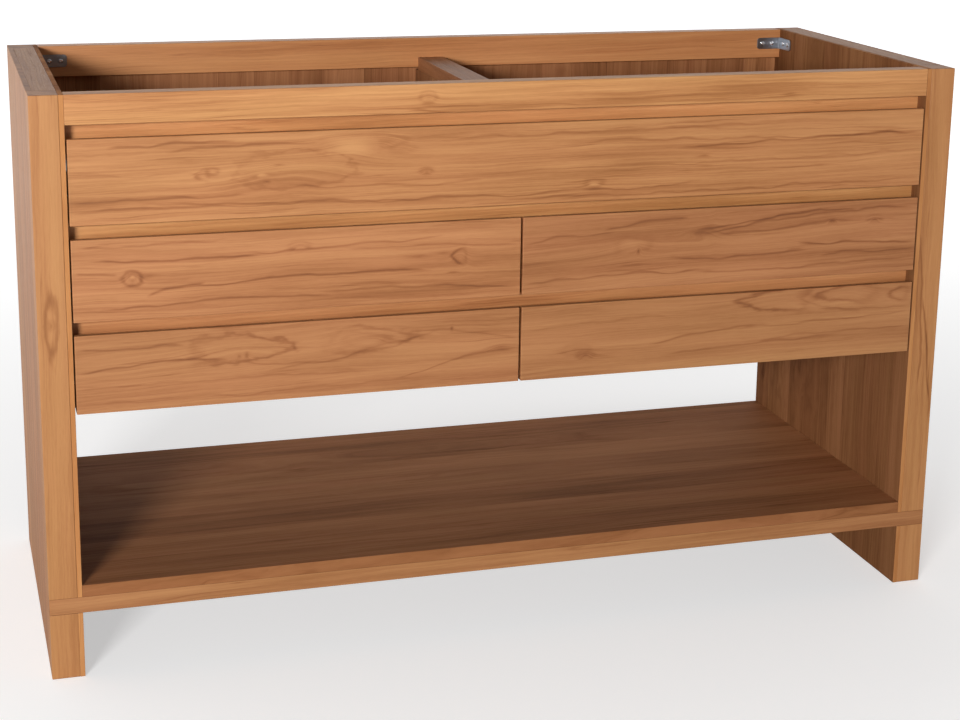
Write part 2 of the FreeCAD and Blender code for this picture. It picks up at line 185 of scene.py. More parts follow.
class Graph:
    """Adds nodes to a shader tree. An input may be a number, a tuple or another node's output."""

    def __init__(self, tree):
        self.tree = tree

    def add(self, kind, inputs=(), **settings):
        """inputs is a list in socket order, None leaving a socket alone, or a dict by socket name."""
        node = self.tree.nodes.new(kind)
        for name, value in settings.items():
            setattr(node, name, value)
        pairs = inputs.items() if isinstance(inputs, dict) else enumerate(inputs)
        for key, value in pairs:
            if value is not None:
                self.feed(node.inputs[key], value)
        return node

    def feed(self, socket, value):
        if isinstance(value, bpy.types.NodeSocket):
            self.tree.links.new(value, socket)
        else:
            socket.default_value = value

    def maths(self, operation, *values, clamp=False):
        return self.add("ShaderNodeMath", values, operation=operation, use_clamp=clamp).outputs[0]

    def square(self, value):
        return self.maths("MULTIPLY", value, value)

    def bell(self, distance, width=1.0):
        """1 where distance is 0, falling away smoothly over width."""
        near = self.maths("DIVIDE", distance, width)
        return self.maths("EXPONENT", self.maths("MULTIPLY", self.square(near), -1.0))

    def vector(self, operation, *values):
        return self.add("ShaderNodeVectorMath", values, operation=operation).outputs[0]

    def scaled(self, vector, factor):
        """The vector times a tuple or one number, component by component."""
        triple = factor if isinstance(factor, tuple) else (factor,) * 3
        return self.vector("MULTIPLY", vector, triple)

    def noise(self, vector, detail=2.0, rough=0.5):
        inputs = {"Vector": vector, "Scale": 1.0, "Detail": detail, "Roughness": rough}
        return self.add("ShaderNodeTexNoise", inputs).outputs["Fac"]

    def remap(self, value, low, high, to_low=0.0, to_high=1.0):
        """Low to high becomes to_low to to_high, and what lies outside is held at the ends."""
        return self.add("ShaderNodeMapRange", [value, low, high, to_low, to_high]).outputs[0]

    def ramp(self, value, stops):
        """A smooth run of colours. A stop is (place, (red, green, blue))."""
        node = self.add("ShaderNodeValToRGB", [value])
        ramp = node.color_ramp
        ramp.interpolation = "B_SPLINE"
        while len(ramp.elements) < len(stops):
            ramp.elements.new(1.0)
        for element, (place, colour) in zip(ramp.elements, stops):
            element.position = place
            element.color = (*colour, 1)
        return node.outputs["Color"]

    def mix(self, factor, one, other, blend="MIX"):
        node = self.add("ShaderNodeMix", data_type="RGBA", blend_type=blend)
        self.feed(node.inputs[0], factor)
        self.feed(node.inputs[6], one if isinstance(one, bpy.types.NodeSocket) else (*one, 1))
        self.feed(node.inputs[7], other if isinstance(other, bpy.types.NodeSocket) else (*other, 1))
        return node.outputs[2]


def new_group(name, inputs, outputs):
    """An empty node group, the sockets that it is given and the sockets that it fills."""
    tree = bpy.data.node_groups.new(name, "ShaderNodeTree")
    for label, kind in inputs:
        tree.interface.new_socket(label, in_out="INPUT", socket_type=f"NodeSocket{kind}")
    for label, kind in outputs:
        tree.interface.new_socket(label, in_out="OUTPUT", socket_type=f"NodeSocket{kind}")
    return tree, tree.nodes.new("NodeGroupInput").outputs, tree.nodes.new("NodeGroupOutput").inputs


# ---------------------------------------------------------------- teak


def grain_group():
    """The grain of one board, as numbers.

    Place is (along the grain, across the face, into the board) in millimetres. The pith of the log runs
    along the grain at Across and Deep, drifting by Lean per metre, and the fibres follow its growth rings.
    Wave is how far the log's bends carry them, and Swell what knots add."""
    numbers = ("Seed", "Across", "Deep", "Lean", "Wave", "Swell")
    results = ("Bands", "Streaks", "Lines", "Pores", "Cloud")
    tree, given, made = new_group(
        "teak_grain",
        [("Place", "Vector"), *((name, "Float") for name in numbers)],
        [(name, "Float") for name in results],
    )
    graph = Graph(tree)
    # the seed moves every board to a far-off part of the noise
    seed = graph.add("ShaderNodeCombineXYZ", [given["Seed"]] * 3).outputs[0]
    offset = graph.scaled(seed, (713.0, 391.0, 577.0))
    place = graph.vector("ADD", given["Place"], offset)
    split = graph.add("ShaderNodeSeparateXYZ", [given["Place"]]).outputs
    metres = graph.maths("MULTIPLY", split["X"], MM)

    slow = graph.noise(graph.scaled(place, (1 / 380, 1 / 75, 1 / 75)), detail=1.0)
    quick = graph.noise(graph.scaled(place, (1 / 85, 1 / 20, 1 / 20)), detail=2.0)
    wander = graph.maths("MULTIPLY", graph.maths("SUBTRACT", slow, 0.5), given["Wave"])
    wiggle = graph.maths("MULTIPLY", graph.maths("SUBTRACT", quick, 0.5), 5.0)
    pith = graph.maths("MULTIPLY_ADD", given["Lean"], metres, given["Across"])
    across = graph.maths("SUBTRACT", split["Y"], pith)
    deep = graph.maths("SUBTRACT", split["Z"], given["Deep"])
    radius = graph.maths("SQRT", graph.maths("MULTIPLY_ADD", across, across, graph.square(deep)))
    for bend in (wander, wiggle, given["Swell"]):
        radius = graph.maths("ADD", radius, bend)

    # along the grain, out through the rings, and into the board: the fibres' own space
    inward = graph.maths("MULTIPLY", split["Z"], 0.4)
    flow = graph.add("ShaderNodeCombineXYZ", [split["X"], radius, inward]).outputs[0]
    flow = graph.vector("ADD", flow, offset)
    bands = graph.noise(graph.scaled(flow, (1 / 700, 1 / 24, 1 / 60)), detail=3.0, rough=0.6)
    streaks = graph.noise(graph.scaled(flow, (1 / 240, 1 / 3.4, 1 / 30)), detail=3.0, rough=0.66)
    veins = graph.noise(graph.scaled(flow, (1 / 560, 1 / 10, 1 / 60)), detail=2.0, rough=0.5)
    patches = graph.noise(graph.scaled(flow, (1 / 150, 1 / 22, 1 / 60)), detail=1.0)
    # lines where a noise crosses its middle, each kind in patches of its own
    crossing = graph.maths("ABSOLUTE", graph.maths("SUBTRACT", veins, 0.5))
    vein = graph.remap(crossing, 0.0, 0.02, 1.0, 0.0)
    vein = graph.maths("MULTIPLY", vein, graph.remap(patches, 0.42, 0.62))
    crossing = graph.maths("ABSOLUTE", graph.maths("SUBTRACT", streaks, 0.47))
    thread = graph.remap(crossing, 0.0, 0.03, 1.0, 0.0)
    thread = graph.maths("MULTIPLY", thread, graph.remap(patches, 0.56, 0.40))

    graph.feed(made["Bands"], bands)
    graph.feed(made["Streaks"], streaks)
    graph.feed(made["Lines"], graph.maths("MULTIPLY_ADD", thread, 0.35, vein))
    graph.feed(made["Pores"], graph.noise(graph.scaled(place, (1 / 14, 1 / 0.9, 1 / 0.9)), detail=1.0))
    graph.feed(made["Cloud"], graph.noise(graph.scaled(place, (1 / 330, 1 / 60, 1 / 60)), detail=2.0))
    return tree


def mark_group():
    """A knot or loop at Centre, Size being its half length and half height. Taper above 0 draws its far end
    to a point, below 0 its near end. Swell is where the fibres bulge round it, Ring its outline and Core its
    middle."""
    tree, given, made = new_group(
        "teak_mark",
        [("Place", "Vector"), ("Centre", "Vector"), ("Size", "Vector"), ("Taper", "Float")],
        [("Swell", "Float"), ("Ring", "Float"), ("Core", "Float")],
    )
    graph = Graph(tree)
    offset = graph.vector("DIVIDE", graph.vector("SUBTRACT", given["Place"], given["Centre"]), given["Size"])
    split = graph.add("ShaderNodeSeparateXYZ", [offset]).outputs
    pinch = graph.maths("MAXIMUM", graph.maths("MULTIPLY_ADD", given["Taper"], split["X"], 1.0), 0.3)
    tall = graph.maths("MULTIPLY", split["Y"], pinch)
    away = graph.maths("SQRT", graph.maths("MULTIPLY_ADD", split["X"], split["X"], graph.square(tall)))
    ruffle = graph.noise(graph.scaled(given["Place"], (1 / 30, 1 / 12, 1 / 30)), detail=2.0)
    rough = graph.maths("MULTIPLY", away, graph.remap(ruffle, 0.25, 0.75, 0.78, 1.22))
    graph.feed(made["Swell"], graph.bell(away))
    height = graph.add("ShaderNodeSeparateXYZ", [given["Size"]]).outputs["Y"]
    rim = graph.bell(graph.maths("SUBTRACT", rough, 1.0), graph.maths("DIVIDE", 2.6, height))
    graph.feed(made["Ring"], graph.maths("MULTIPLY", rim, graph.remap(pinch, 0.45, 1.0)))
    graph.feed(made["Core"], graph.bell(rough, 0.6))
    return tree


def vein_group():
    """A thin dark line that wanders from Start to End, arched by Bow."""
    tree, given, made = new_group(
        "teak_vein",
        [("Place", "Vector"), ("Start", "Vector"), ("End", "Vector"), ("Bow", "Float")],
        [("Dark", "Float")],
    )
    graph = Graph(tree)
    here = graph.add("ShaderNodeSeparateXYZ", [given["Place"]]).outputs
    start = graph.add("ShaderNodeSeparateXYZ", [given["Start"]]).outputs
    reach = graph.vector("SUBTRACT", given["End"], given["Start"])
    span = graph.add("ShaderNodeSeparateXYZ", [reach]).outputs
    along = graph.maths("DIVIDE", graph.maths("SUBTRACT", here["X"], start["X"]), span["X"])
    arch = graph.maths("MULTIPLY", along, graph.maths("SUBTRACT", 1.0, along))
    arch = graph.maths("MULTIPLY", arch, 4.0)
    line = graph.maths("MULTIPLY_ADD", along, span["Y"], start["Y"])
    line = graph.maths("MULTIPLY_ADD", arch, given["Bow"], line)
    stretched = graph.scaled(given["Place"], (1 / 75, 1 / 90, 1 / 90))
    sway = graph.noise(graph.vector("ADD", stretched, given["Start"]), detail=2.0)
    line = graph.maths("MULTIPLY_ADD", graph.maths("SUBTRACT", sway, 0.5), 16.0, line)
    away = graph.maths("SUBTRACT", here["Y"], line)
    dark = graph.bell(away, graph.remap(sway, 0.3, 0.7, 0.9, 2.4))
    graph.feed(made["Dark"], graph.maths("MULTIPLY", dark, graph.remap(arch, 0.0, 0.35)))
    return tree


def stave_group():
    """Splits a width into glued staves. Gives each stave a seed of its own and marks the joints."""
    tree, given, made = new_group(
        "staves",
        [("Across", "Float"), ("Width", "Float"), ("Seed", "Float")],
        [("Own", "Float"), ("Other", "Float"), ("Joint", "Float")],
    )
    graph = Graph(tree)
    place = graph.maths("ADD", graph.maths("DIVIDE", given["Across"], given["Width"]), given["Seed"])
    cells, edge = (
        graph.add(
            "ShaderNodeTexVoronoi",
            {"W": place, "Scale": 1.0, "Randomness": 0.55},
            voronoi_dimensions="1D",
            feature=feature,
        )
        for feature in ("F1", "DISTANCE_TO_EDGE")
    )
    colour = graph.add("ShaderNodeSeparateColor", [cells.outputs["Color"]]).outputs
    graph.feed(made["Own"], colour[0])
    graph.feed(made["Other"], colour[1])
    distance = graph.maths("MULTIPLY", edge.outputs["Distance"], given["Width"])
    graph.feed(made["Joint"], graph.remap(distance, 0.25, 0.9, 1.0, 0.0))
    return tree


# ways that a board can lie: which axis runs along the grain, across the face and into the board
LIES = {
    "level": ("X", "Z", "Y"),    # grain along X, face to the front
    "upright": ("Z", "X", "Y"),  # grain up, face to the front
    "flank": ("Z", "Y", "X"),    # grain up, face to the side
    "flat": ("X", "Y", "Z"),     # grain along X, face up
    "through": ("Y", "X", "Z"),  # grain along Y, face up
    "rail": ("Y", "Z", "X"),     # grain along Y, face to the side
}

GRAIN, MARK, VEIN, STAVES = grain_group(), mark_group(), vein_group(), stave_group()

# linear colours of the wood, dark line to pale streak, and the tones that they stand for
TONES = (0.08, 0.40, 0.66, 1.0)
HONEY = ((0.175, 0.054, 0.013), (0.335, 0.119, 0.034), (0.470, 0.193, 0.068), (0.625, 0.305, 0.116))
UMBER = ((0.105, 0.036, 0.013), (0.225, 0.085, 0.030), (0.320, 0.130, 0.050), (0.440, 0.200, 0.082))


def teak(
    name, lie, seed, pith=(170.0, 120.0), lean=15.0, wave=20.0, marks=(), veins=(), staves=None,
    palette=HONEY, light=1.0, warm=0.0, contrast=1.0, gloss=0.4, lip=0.0,
):
    """A board's material, with lengths in millimetres and places measured from the middle of its node.

    pith is where the heart of its log lies, across and into the board, and lean how far across it moves per
    metre. A mark is (along, across, half length, half height, taper, bulge, ring, core). A vein is (along,
    across, along, across, bow, strength), from one end to the other. staves is the mean width of its glued
    staves. light, warm and contrast set its colours and gloss how much it shines. The last argument, if any,
    is painted light: how light the faces turned to the front or upwards are made, in the honey wood's
    colours."""
    material = bpy.data.materials.new(name)
    material.use_nodes = True
    graph = Graph(material.node_tree)
    shader = material.node_tree.nodes["Principled BSDF"]

    low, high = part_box(name)
    middle = (low + high) / 2
    own = graph.add("ShaderNodeTexCoord").outputs["Object"]
    centred = graph.scaled(graph.vector("SUBTRACT", own, tuple(middle)), 1000.0)
    axes = graph.add("ShaderNodeSeparateXYZ", [centred]).outputs
    place = graph.add("ShaderNodeCombineXYZ", [axes[axis] for axis in LIES[lie]]).outputs[0]

    dark, swell, own_tone, joint = 0.0, 0.0, 0.0, None
    for along, across, half_long, half_tall, taper, bulge, ring, core in marks:
        mark = graph.add("ShaderNodeGroup", node_tree=MARK)
        graph.feed(mark.inputs["Place"], place)
        graph.feed(mark.inputs["Centre"], (along, across, 0))
        graph.feed(mark.inputs["Size"], (half_long, half_tall, 60))
        graph.feed(mark.inputs["Taper"], taper)
        swell = graph.maths("MULTIPLY_ADD", mark.outputs["Swell"], bulge, swell)
        if ring:
            dark = graph.maths("MULTIPLY_ADD", mark.outputs["Ring"], ring, dark)
        if core:
            dark = graph.maths("MULTIPLY_ADD", mark.outputs["Core"], core, dark)

    for near_along, near_across, far_along, far_across, bow, strength in veins:
        vein = graph.add("ShaderNodeGroup", node_tree=VEIN)
        graph.feed(vein.inputs["Place"], place)
        graph.feed(vein.inputs["Start"], (near_along, near_across, 0))
        graph.feed(vein.inputs["End"], (far_along, far_across, 0))
        graph.feed(vein.inputs["Bow"], bow)
        dark = graph.maths("MULTIPLY_ADD", vein.outputs["Dark"], strength, dark)

    grain = graph.add("ShaderNodeGroup", node_tree=GRAIN)
    across_pith, seed_value = pith[0], seed
    if staves:
        parts = graph.add("ShaderNodeGroup", node_tree=STAVES)
        graph.feed(parts.inputs["Across"], axes[LIES[lie][1]])
        parts.inputs["Width"].default_value = staves
        parts.inputs["Seed"].default_value = seed * 3.7
        seed_value = graph.maths("MULTIPLY_ADD", parts.outputs["Own"], 9.0, seed)
        across_pith = graph.remap(parts.outputs["Other"], 0.0, 1.0, 60.0, 260.0)
        own_tone = graph.remap(parts.outputs["Own"], 0.0, 1.0, -0.13, 0.13)
        joint = parts.outputs["Joint"]
    inputs = {"Place": place, "Seed": seed_value, "Across": across_pith, "Deep": pith[1], "Lean": lean,
              "Wave": wave, "Swell": swell}
    for key, value in inputs.items():
        graph.feed(grain.inputs[key], value)

    # shade runs from 0, a dark line, to 1, a pale streak
    shade = 0.68
    for output, strength in (("Bands", 0.75), ("Streaks", 0.62), ("Cloud", 0.45), ("Pores", 0.14)):
        scale = strength if output == "Pores" else strength * contrast
        part = graph.maths("SUBTRACT", grain.outputs[output], 0.5)
        shade = graph.maths("MULTIPLY_ADD", part, scale, shade)
    shade = graph.maths("MULTIPLY_ADD", grain.outputs["Lines"], -0.2 * contrast, shade)
    shade = graph.maths("ADD", shade, own_tone)
    shade = graph.maths("SUBTRACT", shade, dark)
    # the ends of a board, cut across the fibres, drink in more oil
    normal = graph.add("ShaderNodeSeparateXYZ", [graph.add("ShaderNodeTexCoord").outputs["Normal"]]).outputs
    end = graph.remap(graph.maths("ABSOLUTE", normal[LIES[lie][0]]), 0.6, 0.9)
    shade = graph.maths("MULTIPLY_ADD", end, -0.14, shade)
    # and every face turned downwards is darkened, painted shade: the thin shadow line under each front's
    # lower edge
    painted_underside_shade = graph.remap(graph.maths("MULTIPLY", normal["Z"], -1.0), 0.25, 0.7)
    shade = graph.maths("MULTIPLY_ADD", painted_underside_shade, -0.55, shade)
    if joint is not None:
        shade = graph.maths("MULTIPLY_ADD", joint, -0.16, shade)

    colour = graph.ramp(shade, list(zip(TONES, palette)))
    # some boards are redder, some more golden, and each drifts a little along its length
    hue = graph.remap(grain.outputs["Cloud"], 0.3, 0.7, warm - 0.35, warm + 0.35)
    hue = graph.maths("MULTIPLY_ADD", hue, 0.5, 0.5, clamp=True)
    golden, red = (
        tuple(light * channel for channel in colour_cast)
        for colour_cast in ((0.97, 1.05, 0.98), (1.03, 0.955, 1.02))
    )
    colour = graph.mix(1.0, colour, graph.mix(hue, golden, red), blend="MULTIPLY")
    # painted light: faces turned to the front or upwards take the honey wood's colours, lighter than the rest
    # of the board
    if lip:
        lit_honey_palette = [tuple(lip * channel for channel in colour) for colour in HONEY]
        edge = graph.ramp(shade, list(zip(TONES, lit_honey_palette)))
        front = graph.maths("MAXIMUM", graph.maths("MULTIPLY", normal["Y"], -1.0), normal["Z"])
        colour = graph.mix(graph.remap(front, 0.6, 0.9), colour, edge)
    graph.feed(shader.inputs["Base Color"], colour)

    dull = 0.58 - gloss / 2
    rough = graph.remap(grain.outputs["Pores"], 0.3, 0.7, dull + 0.2, dull + 0.06)
    graph.feed(shader.inputs["Roughness"], graph.maths("MULTIPLY_ADD", grain.outputs["Lines"], 0.08, rough))
    shader.inputs["Specular IOR Level"].default_value = gloss
    height = graph.maths("MULTIPLY_ADD", grain.outputs["Pores"], 0.6, grain.outputs["Streaks"])
    bump = graph.add("ShaderNodeBump", {"Strength": 0.22, "Distance": 0.00025, "Height": height})
    graph.feed(shader.inputs["Normal"], bump.outputs[0])
    return material


def metal(name, colour, rough):
    """Zinc-plated steel, faintly mottled as pressed parts are."""
    material = bpy.data.materials.new(name)
    material.use_nodes = True
    graph = Graph(material.node_tree)
    shader = material.node_tree.nodes["Principled BSDF"]
    place = graph.scaled(graph.add("ShaderNodeTexCoord").outputs["Object"], 1000.0)
    cloud = graph.noise(graph.scaled(place, 1 / 7), detail=3.0)
    spots = graph.noise(graph.scaled(place, 1 / 1.3), detail=2.0)
    pale = tuple(min(1.0, channel * 1.3) for channel in colour)
    blend = graph.maths("MULTIPLY_ADD", spots, 0.35, graph.maths("MULTIPLY", cloud, 0.75))
    graph.feed(shader.inputs["Base Color"], graph.mix(blend, colour, pale))
    shader.inputs["Metallic"].default_value = 1.0
    graph.feed(shader.inputs["Roughness"], graph.remap(cloud, 0.3, 0.7, rough - 0.07, rough + 0.09))
    bump = graph.add("ShaderNodeBump", {"Strength": 0.15, "Distance": 0.0001, "Height": spots})
    graph.feed(shader.inputs["Normal"], bump.outputs[0])
    return material


# ---------------------------------------------------------------- boards


def dress(name, material, ease=0.6):
    """Gives a CAD board its material and eases its edges by that many millimetres."""
    board = NODES[name]
    board.data.materials.clear()
    board.data.materials.append(material)
    weld = board.modifiers.new("weld", "WELD")
    weld.merge_threshold = 1e-5
    bevel = board.modifiers.new("ease", "BEVEL")
    bevel.width = ease * MM
    bevel.segments = 2
    bevel.limit_method = "ANGLE"
    bevel.angle_limit = math.radians(30)
    bevel.harden_normals = True


def dress_boards():
    """Every board in its own piece of wood. The seeds only tell the boards apart."""

    def board(name, lie, seed, ease=0.6, **look):
        dress(name, teak(name, lie, seed, **look), ease)

    # the fronts, each with the knots, loops and dark lines of its own board
    board(
        "wide_drawer_front", "level", 1.0, 1.2, lean=4, wave=14, light=1.03,
        marks=[
            (-469, 4, 10, 6, -0.4, 5, 0.2, 0.1), (-454, 8, 7, 4, 0.0, 3, 0.2, 0.0),
            (-330, 8, 86, 25, 0.15, 12, 0.13, -0.03), (-386, 1, 12, 4, 0.0, 4, 0.05, -0.26),
            (-378, -9, 9, 3, 0.0, 2, 0.0, 0.26), (-362, 14, 14, 3, 0.0, 2, 0.0, 0.2),
            (-257, 36, 50, 19, 0.0, 12, 0.03, -0.3), (0, -57, 900, 9, 0.0, 0, 0.0, -0.14),
            (-300, 52, 460, 5, 0.0, 0, 0.0, -0.08), (-205, 42, 27, 10, 0.3, 7, 0.1, 0.13),
            (-182, 30, 18, 6, 0.0, 4, 0.08, 0.1), (-146, -3, 8, 5, 0.0, 4, 0.14, 0.2),
            (110, -34, 13, 6, 0.0, 5, 0.16, -0.12), (285, 2, 14, 5, 0.0, 3, 0.0, 0.2),
        ],
        veins=[
            (-655, -30, -400, -26, 0, 0.24), (-560, -34, 300, -38, -8, 0.26), (-655, -42, -120, -46, 3, 0.2),
            (-600, 44, -420, 50, 2, 0.26), (-520, 36, -300, 44, 4, 0.2), (-350, -14, -60, -20, -6, 0.2),
            (60, 30, 655, 26, -2, 0.22), (240, 14, 655, 24, 3, 0.3), (100, -8, 655, -2, -4, 0.14),
            (-655, 10, -460, 6, 0, 0.1), (-140, 44, 420, 50, -3, 0.16), (-40, -50, 655, -48, -2, 0.2),
        ],
    )
    board(
        "upper_left_drawer_front", "level", 2.0, 1.2, lean=-10, wave=16, warm=0.55, light=0.95,
        marks=[
            (-242, 1, 13, 11, 0.15, 8, 0.3, -0.06), (-242, 2, 5, 5, 0.0, 3, 0.12, -0.12),
            (-220, 3, 20, 5, 0.6, 2, 0.0, 0.22), (168, 9, 34, 4, 0.0, 2, 0.0, 0.26),
            (206, 12, 20, 4, 0.0, 2, 0.0, 0.2), (231, 6, 12, 10, -0.5, 8, 0.34, -0.05),
            (-6, 34, 14, 7, 0.0, 6, 0.12, 0.06), (222, -18, 12, 3, 0.0, 2, 0.0, 0.18),
        ],
        veins=[
            (-300, 30, -60, 26, -5, 0.36), (-80, 28, 210, 40, -3, 0.26), (-224, -28, -140, -12, 2, 0.3),
            (-165, -14, 190, -12, 3, 0.36), (-290, -44, 40, -40, 5, 0.3), (20, -36, 325, -44, 4, 0.26),
            (-320, 46, -120, 50, -2, 0.22), (60, 24, 325, 18, 4, 0.2), (-320, 12, -262, 4, 0, 0.2),
            (-60, -30, 150, -28, 0, 0.14),
        ],
    )
    board(
        "upper_right_drawer_front", "level", 3.0, 1.2, lean=26, wave=16, warm=0.6, light=0.88, contrast=0.9,
        marks=[
            (-40, 22, 26, 9, -0.8, 8, 0.0, 0.26), (178, 28, 10, 5, 0.0, 5, 0.0, 0.3),
            (251, 28, 11, 6, 0.0, 5, 0.1, 0.26), (-142, -2, 4, 8, 0.0, 4, 0.0, 0.3),
            (-150, 8, 30, 12, 0.3, 6, 0.08, -0.12),
        ],
        veins=[
            (-50, 22, 220, 48, 6, 0.34), (-40, 18, 320, 44, 8, 0.3), (-20, 14, 310, 28, 4, 0.2),
            (-90, -18, 140, -16, -3, 0.26), (120, -6, 325, -14, 3, 0.4), (-325, -44, -40, -38, 4, 0.3),
            (-325, 18, -180, 30, 2, 0.2), (-200, 32, -60, 44, 3, 0.24), (-60, -40, 325, -34, -4, 0.26),
            (160, -26, 325, -24, 2, 0.24),
        ],
    )
    board(
        "lower_left_drawer_front", "level", 4.0, 1.2, lean=10, wave=14, warm=0.4, light=0.9, contrast=0.85,
        marks=[
            (-92, 23, 72, 19, 0.35, 9, 0.3, 0.0), (-84, 13, 5, 7, 0.0, 2, 0.0, 0.28),
            (-95, 12, 5, 5, 0.0, 2, 0.0, 0.2), (98, 24, 64, 18, 0.35, 8, 0.2, 0.0),
            (92, 24, 34, 10, 0.35, 2, 0.12, 0.0), (220, 32, 4, 5, 0.0, 2, 0.0, 0.36),
            (296, -2, 26, 9, 0.0, 6, 0.0, 0.16), (0, -54, 460, 8, 0.0, 0, 0.0, -0.16),
        ],
        veins=[
            (-325, 0, -110, 8, 8, 0.32), (-325, 38, -170, 34, -2, 0.2), (-90, 2, 60, -4, -2, 0.2),
            (-60, -12, 200, 30, -6, 0.2), (140, -36, 325, -4, 6, 0.24), (-300, -20, 100, -24, 2, 0.16),
            (-325, -44, 200, -40, -2, 0.14), (150, 34, 325, 8, 6, 0.14),
        ],
    )
    board(
        "lower_right_drawer_front", "level", 5.0, 1.2, lean=16, wave=14, warm=0.15, light=0.88, contrast=0.75,
        marks=[
            (92, 42, 62, 17, -0.45, 9, 0.34, 0.0), (212, 46, 50, 13, -0.45, 7, 0.3, 0.0),
            (196, 44, 66, 22, -0.4, 4, 0.12, 0.0), (-222, -24, 12, 7, 0.0, 6, 0.1, 0.24),
            (-238, -14, 22, 8, 0.0, 4, 0.08, 0.1), (302, 40, 16, 9, -0.4, 4, 0.26, 0.0),
            (0, -50, 460, 14, 0.0, 0, 0.0, -0.14), (200, 30, 120, 12, 0.0, 0, 0.0, -0.08),
        ],
        veins=[
            (-120, -14, 60, 4, 3, 0.26), (20, 2, 325, 12, -3, 0.2), (-100, -34, 200, -20, 2, 0.18),
            (60, -20, 325, -14, 2, 0.2), (-325, 20, -80, 26, 3, 0.12), (160, 24, 325, 20, -2, 0.2),
        ],
    )
    board(
        "top_front_rail", "level", 6.0, 0.8, lean=6, wave=7, warm=-0.5, light=1.15, contrast=1.25,
        marks=[
            (-144, 2, 12, 9, 0.0, 5, 0.12, 0.12),
        ],
    )
    board("upper_finger_rail", "level", 7.0, wave=8, light=1.32, warm=-0.1)
    board("middle_finger_rail", "level", 8.0, wave=8, light=1.24, warm=-0.6)
    board("lower_finger_rail", "level", 9.0, wave=8, light=1.12, warm=0.3)
    board("bottom_front_rail", "level", 10.0, 0.8, wave=8, light=0.86)
    board(
        "left_front_post", "upright", 11.0, 1.0, lean=10, wave=8, warm=-0.4, light=1.02, contrast=0.6,
        marks=[
            (104, -1, 40, 8, 0.0, 7, 0.26, -0.08), (104, -1, 6, 4, 0.0, 2, 0.1, 0.2),
        ],
    )
    board(
        "right_front_post", "upright", 12.0, 1.0, lean=-10, wave=10, warm=-0.4, light=1.04, contrast=0.7,
        veins=[
            (160, -18, -90, -6, 2, 0.3), (60, -8, -110, 14, 2, 0.34), (10, 2, -150, 19, 0, 0.2),
        ],
    )

    # the sides
    # painted shade: a dark patch on each inner lining, towards the back at about the height of the drawer
    # bay's floor, where the drawers shade it
    painted_shade_at_back = [(-10, 275, 270, 400, 0.0, 0, 0.0, 0.6)]
    for hand, seed in (("left", 13.0), ("right", 14.0)):
        board(f"{hand}_outer_panel", "flank", seed, staves=92.0, light=0.95)
        # the linings' faces turned to the front or upwards carry painted light, in the honey wood's colours
        board(
            f"{hand}_inner_lining", "flank", seed + 2, staves=52.0, palette=UMBER, light=0.74, warm=0.1,
            gloss=0.05, lip=1.06, marks=painted_shade_at_back,
        )
        board(f"{hand}_back_post", "upright", seed + 4)
    board("side_top_rails", "rail", 19.0, light=0.9)
    board("side_foot_rails", "rail", 20.0, light=0.9)

    # the top frame, the back and the bay
    board("top_back_rail", "level", 21.0, 0.8, wave=10, light=1.22, warm=0.2, contrast=0.8, gloss=0.55)
    board("top_cross_rail", "through", 22.0, 0.8, palette=UMBER, light=1.1, warm=0.4)
    board("centre_back_post", "upright", 23.0, palette=UMBER)
    board("centre_partition", "rail", 24.0, palette=UMBER)
    board("back_panel", "upright", 25.0, staves=64.0, palette=UMBER, light=1.15, warm=0.4, gloss=0.2)
    board(
        "back_end_boards", "upright", 26.0, pith=(30, 70), palette=UMBER, light=1.3, contrast=1.5, gloss=0.2,
    )
    board("bay_floor", "flat", 27.0, staves=80.0, palette=UMBER)
    board("bottom_back_rail", "level", 28.0)
    board("bottom_shelf", "flat", 29.0, 0.8, staves=78.0, palette=UMBER, gloss=0.05, light=1.02, warm=0.35)

    # the drawer boxes
    parts = (("left_side", "rail"), ("right_side", "rail"), ("back", "level"), ("bottom", "flat"))
    for i, body in enumerate(sorted(DRAWERS)):
        for j, (part, lie) in enumerate(parts):
            seed = 30.0 + len(parts) * i + j
            board(f"{body}_{part}", lie, seed, pith=(150 + 20 * i, 90), wave=12, light=0.98)


# ---------------------------------------------------------------- hardware


def piece(name, shape, material, body, slot, *replaced):
    """A visible piece from a bmesh in millimetres. It rides on body and stands for the CAD nodes replaced."""
    bmesh.ops.scale(shape, vec=(MM, MM, MM), verts=shape.verts)
    bmesh.ops.recalc_face_normals(shape, faces=shape.faces)
    mesh = bpy.data.meshes.new(name)
    shape.to_mesh(mesh)
    shape.free()
    mesh.shade_smooth()
    mesh.materials.append(material)
    made = bpy.data.objects.new(name, mesh)
    bpy.context.scene.collection.objects.link(made)
    corners = made.modifiers.new("corners", "EDGE_SPLIT")
    corners.split_angle = math.radians(35)
    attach(made, body)
    if replaced:
        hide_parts(*replaced)


def turned(shape, profile, place, aim, turn, recess, sides=48):
    """Spins a profile of (radius, height) points round the line from place towards aim. recess is the depth
    of a cross for a screwdriver, sunk into what lies above height 1 and turned by turn."""
    half_slot, half_cross = 0.46, 1.95
    spin = Vector(aim).to_track_quat("Z", "X").to_matrix() @ Matrix.Rotation(turn, 3, "Z")
    rings = []
    for radius, height in profile:
        ring = []
        for i in range(sides if radius else 1):
            angle = 2 * math.pi * i / sides
            x, y = radius * math.cos(angle), radius * math.sin(angle)
            near, far = sorted((abs(x), abs(y)))
            in_cross = near < half_slot and far < half_cross and height > 1
            sunk = recess * (1 - 0.45 * far / half_cross) if in_cross else 0
            ring.append(shape.verts.new(Vector(place) + spin @ Vector((x, y, height - sunk))))
        rings.append(ring)
    for low, high in zip(rings, rings[1:]):
        for i in range(sides):
            walk = ((low, i), (low, i + 1), (high, i + 1), (high, i))
            corners = [ring[step % len(ring)] for ring, step in walk]
            corners = list(dict.fromkeys(corners))   # a point on the axis serves every side
            if len(corners) > 2:
                shape.faces.new(corners)


